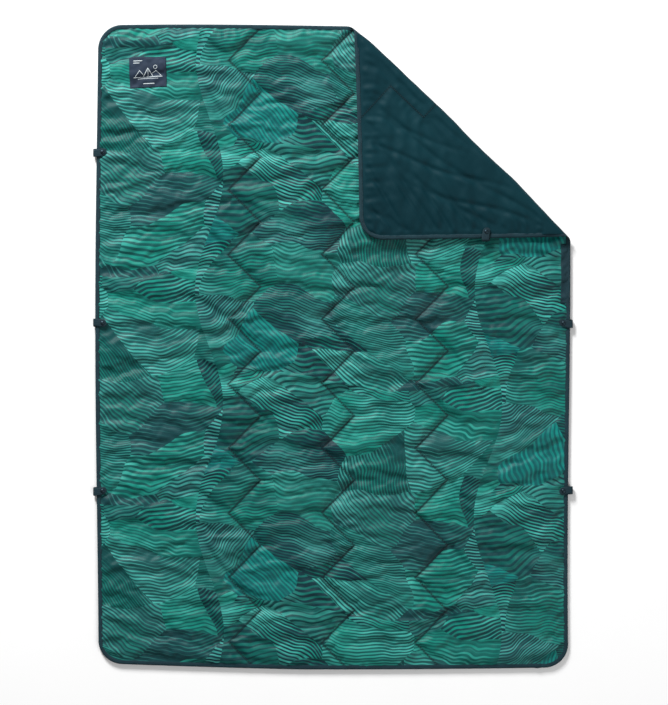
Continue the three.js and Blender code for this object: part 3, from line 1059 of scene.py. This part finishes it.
def stroke(route, width):
    """A printed line of the motif: a slab along a route of label coordinates."""
    route = np.array(route) * MM
    fine = [route[0]]
    for start, end in zip(route[:-1], route[1:]):
        steps = max(1, round(np.linalg.norm(end - start) / (2 * MM)))
        fine.extend(start + (end - start) * turn / steps for turn in range(1, steps + 1))
    fine = np.array(fine)
    heading = unit(np.gradient(fine, axis=0))
    side = np.stack([-heading[:, 1], heading[:, 0]], -1) * width * MM / 2
    edges = np.stack([fine + side, fine - side], 1)
    x, y = label_place(edges[..., 0], edges[..., 1])
    return laid_slab(x, y, 1.15 * MM, 0.15 * MM)


def label_motif():
    """A generic camp motif: a ridge tent between hills, the ground, a sun and plain bars."""
    turns = np.linspace(0, 2 * math.pi, 25)
    sun = [(22 + 5 * math.cos(turn), 14 + 5 * math.sin(turn)) for turn in turns]
    strokes = [
        ([(-42, 33), (-16, 33)], 2.2),
        ([(-42, 27), (-24, 27)], 2.2),
        ([(-38, -12), (-24, 6), (-14, -6)], 1.6),
        ([(-14, -12), (0, 12), (14, -12)], 2.0),
        ([(0, 12), (0, -12)], 1.4),
        ([(12, -4), (24, 4), (38, -12)], 1.6),
        ([(-42, -14), (42, -14)], 2.0),
        ([(-30, -19), (30, -19)], 1.2),
        ([(-14, -33), (18, -33)], 2.6),
        (sun, 1.4),
    ]
    points, faces = [], []
    count = 0
    for route, width in strokes:
        stroke_points, stroke_faces, _ = stroke(route, width)
        points.append(stroke_points)
        faces.append(stroke_faces + count)
        count += len(stroke_points)
    piece = make_piece(
        "label_motif", np.concatenate(points), np.concatenate(faces).tolist(), LABEL_INK
    )
    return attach(piece, "root")


label_patch()
label_stitches()
label_motif()


FACING_WIDTH = 28 * MM
FACING_BOTTOM_Y = 0.127
FACING_GAP = 24 * MM  # between the facing's upper end and the crease


def edge_facing():
    """A second width of tape beside the binding, on the right edge just below the fold."""
    crease_y = HINGE.y - (HALF_WIDTH - HINGE.x) * NORMAL[0] / NORMAL[1]
    x, y = np.meshgrid(
        np.linspace(HALF_WIDTH - FACING_WIDTH, HALF_WIDTH - RIM_INSET - 1 * MM, 8),
        np.linspace(FACING_BOTTOM_Y, crease_y - FACING_GAP, 44),
        indexing="ij",
    )
    points, faces, flat = laid_slab(x, y, 0.4 * MM, 0.9 * MM)
    piece = make_piece(
        "fold_facing_tape", points, faces.tolist(), BINDING, flat[:, [1, 0, 2]]
    )
    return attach(piece, "root")


edge_facing()

# ---------- snap tabs ----------

TAB_HALF_WIDTH = 11 * MM
TAB_THICKNESS = 1.3 * MM
SNAP_U = -17 * MM
TIP_U = -29 * MM
BEND_START_U = 2 * MM
HINGE_U = 4 * MM
HINGE_W = 7.4 * MM  # the hinge's height in the tab's own frame
BEND_CENTRE_W = 8.25 * MM
BEND_RADIUS = 6.25 * MM


def tab_frame(name):
    """Takes a tab's own u (outwards), v (along the edge) and w (up) to the blanket."""
    joint = joints[f"{name}_snap"]
    along = np.array(joint["axis"], float)
    up = np.array([0.0, 0.0, 1.0])
    out = np.cross(along, up)
    origin = np.array(joint["pos_m"]) - out * HINGE_U - up * HINGE_W

    def transform(points):
        points = np.asarray(points)
        u, v, w = points[..., 0:1], points[..., 1:2], points[..., 2:3]
        return origin + u * out + v * along + w * up

    return transform


def webbing_route():
    """Centre line of the webbing: under the edge, round the bend, back over to the tip."""
    route = [(u, BEND_CENTRE_W - BEND_RADIUS) for u in np.linspace(TIP_U, BEND_START_U, 17)]
    for turn in np.linspace(-90, 90, 19):
        angle = math.radians(turn)
        u = HINGE_U + BEND_RADIUS * math.cos(angle)
        route.append((u, BEND_CENTRE_W + BEND_RADIUS * math.sin(angle)))
    flat_part = np.linspace(BEND_START_U, -18 * MM, 14)
    tip_part = np.linspace(-18.6 * MM, TIP_U, 19)
    for u in np.concatenate([flat_part, tip_part]):
        dip = 0.6 * MM * smooth(-u, 22 * MM, 30 * MM)
        route.append((u, BEND_CENTRE_W + BEND_RADIUS - dip))
    return np.array(route)


def webbing_piece(name, transform, slant):
    route = webbing_route()
    heading = unit(np.gradient(route, axis=0))
    side = np.stack([-heading[:, 1], heading[:, 0]], -1)
    length = np.concatenate([[0], np.cumsum(np.linalg.norm(np.diff(route, axis=0), axis=1))])
    from_tip = length[-1] - length
    round_tip = np.clip(TAB_HALF_WIDTH - from_tip, 0, None)
    half = np.sqrt(np.maximum(TAB_HALF_WIDTH**2 - round_tip**2, (0.8 * MM) ** 2))
    shares = np.linspace(-1, 1, 9)
    rim = np.sqrt(np.clip(1 - np.abs(shares) ** 8, 0.12, 1)) * TAB_THICKNESS / 2
    loop = [*zip(shares, rim), *zip(shares[::-1], -rim[::-1])]
    points = np.empty((len(route), len(loop), 3))
    flat = np.empty_like(points)
    lean = slant * smooth(length, 0.03, 0.06) * (route[:, 0] - SNAP_U)
    for column, (share, height) in enumerate(loop):
        u, w = (route - side * height).T
        points[:, column] = np.stack([u, share * half + lean, w], -1)
        flat[:, column] = flat_attribute(length, share * half)
    faces = tube_faces(len(route), len(loop))
    return make_piece(f"{name}_webbing", transform(points), faces, WEBBING, flat)


def ring_profile(points):
    return [(radius * MM, height * MM) for radius, height in points]


CAP_PROFILE = ring_profile([
    (0, 12.9), (1.4, 12.9), (1.5, 13.1), (1.5, 15.4), (5.2, 15.4), (5.8, 15.6), (6, 16),
    (5.9, 16.4), (5.5, 16.7), (5, 16.75), (4.7, 16.9), (4.2, 17.3), (3, 17.75), (1.5, 17.95),
    (0, 18),
])
SOCKET_PROFILE = ring_profile([
    (3.1, 10.3), (3.5, 10.1), (4.7, 10.1), (5, 10.4), (4.9, 11.4), (4.6, 12.2), (4.9, 12.9),
    (4.7, 13.4), (1.8, 13.4), (1.8, 12.7), (2.9, 12.7), (3.1, 12.4), (3, 11.2),
])
STUD_PROFILE = ring_profile([
    (1.5, 9.1), (4.7, 9.1), (5, 9.3), (5, 9.6), (4.7, 9.8), (3.1, 9.9), (2.7, 10.3), (2.8, 11),
    (2.9, 11.6), (2.7, 12.2), (2.3, 12.4), (1.8, 12.4), (1.5, 12.1),
])
POST_PROFILE = ring_profile([
    (0, 0.35), (3, 0.3), (4.2, 0.3), (4.5, 0.6), (4.3, 1), (3.9, 1.1), (1.4, 1.1), (1.2, 1.4),
    (1.2, 10.7), (1, 11), (0, 11),
])


def snap_piece(name, kind, profile, material, transform, body):
    def at_snap(points):
        return transform(points + np.array([SNAP_U, 0, 0]))

    piece = lathe(f"{name}_snap_{kind}", profile, material, at_snap)
    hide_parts(f"{name}_{kind}")
    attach(piece, body)


def sewn_box(name, transform, body):
    """The box of stitches that holds the webbing's end under the edge."""
    corners = np.array([(-27, -8), (-5, -8), (-5, 8), (-27, 8)]) * MM
    u, v = closed_route(corners, 8).T
    place = transform(np.stack([u, v, np.full_like(u, 1.25 * MM)], -1))
    row = (place, np.roll(place, -1, 0), np.tile([0.0, 0.0, -1.0], (len(place), 1)))
    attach(stitches(f"{name}_sewn_box", [row], 0.15, 0.3 * MM, EDGE_THREAD), body)


def snap_tab(name, slant):
    transform = tab_frame(name)
    body = "corner" if name == "tab_corner" else "root"
    webbing = webbing_piece(name, transform, slant)
    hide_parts(f"{name}_anchor_webbing", f"{name}_strap")
    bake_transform(webbing)
    snap_piece(name, "cap", CAP_PROFILE, DARK_METAL, transform, name)
    snap_piece(name, "socket", SOCKET_PROFILE, METAL, transform, name)
    snap_piece(name, "stud", STUD_PROFILE, METAL, transform, body)
    snap_piece(name, "post", POST_PROFILE, METAL, transform, body)
    sewn_box(name, transform, body)


TAB_SLANTS = {
    "tab_left_upper": 0.16,
    "tab_left_middle": -0.12,
    "tab_left_lower": 0.2,
    "tab_right_middle": -0.22,
    "tab_right_lower": 0.14,
    "tab_corner": -0.18,
}
for tab_name, tab_slant in TAB_SLANTS.items():
    snap_tab(tab_name, tab_slant)

# ---------- floor, light and camera ----------

FLOOR_HALF = 30.0
FLOOR_Z = -1 * MM
FLOOR_GREY = (0.93, 0.93, 0.93, 1)
FLOOR_LIGHT = (0.96, 0.96, 0.96, 1)


def make_floor():
    mesh = bpy.data.meshes.new("floor")
    corners = [(-1, -1), (1, -1), (1, 1), (-1, 1)]
    points = [(x * FLOOR_HALF, y * FLOOR_HALF, FLOOR_Z) for x, y in corners]
    mesh.from_pydata(points, [], [(0, 1, 2, 3)])
    floor = bpy.data.objects.new("floor", mesh)
    bpy.context.scene.collection.objects.link(floor)
    s = Shader("pale_floor", specular=0.1)
    speck = s.noise(s.place(), 3.0, detail=3.0)
    mesh.materials.append(s.finish(s.mix(speck, FLOOR_GREY, FLOOR_LIGHT), 0.9))


def add_light(name, place, size, watts):
    data = bpy.data.lights.new(name, "AREA")
    data.size = size
    data.energy = watts
    light = bpy.data.objects.new(name, data)
    light.location = place
    light.rotation_euler = (-Vector(place)).to_track_quat("-Z", "Y").to_euler()
    bpy.context.scene.collection.objects.link(light)


def make_lights():
    add_light("key", (-2.2, 5.0, 3.1), size=1.8, watts=620)
    add_light("fill", (3.6, -2.6, 4.8), size=4.0, watts=150)
    world = bpy.data.worlds.new("studio")
    world.use_nodes = True
    background = world.node_tree.nodes["Background"]
    background.inputs["Color"].default_value = (1, 1, 1, 1)
    background.inputs["Strength"].default_value = 0.24
    bpy.context.scene.world = world


VIEW_HEIGHT = 2.057  # length of floor that the frame's long side covers
CAMERA_PLACE = (3 * MM, -16 * MM, 8.0)
SENSOR = 36.0


def make_camera():
    data = bpy.data.cameras.new("camera")
    data.sensor_width = SENSOR
    data.lens = SENSOR * (CAMERA_PLACE[2] - LOFT) / VIEW_HEIGHT
    data.clip_end = 100
    camera = bpy.data.objects.new("camera", data)
    camera.location = CAMERA_PLACE
    bpy.context.scene.collection.objects.link(camera)
    bpy.context.scene.camera = camera


make_floor()
make_lights()
make_camera()
bpy.context.scene.view_settings.view_transform = "Standard"
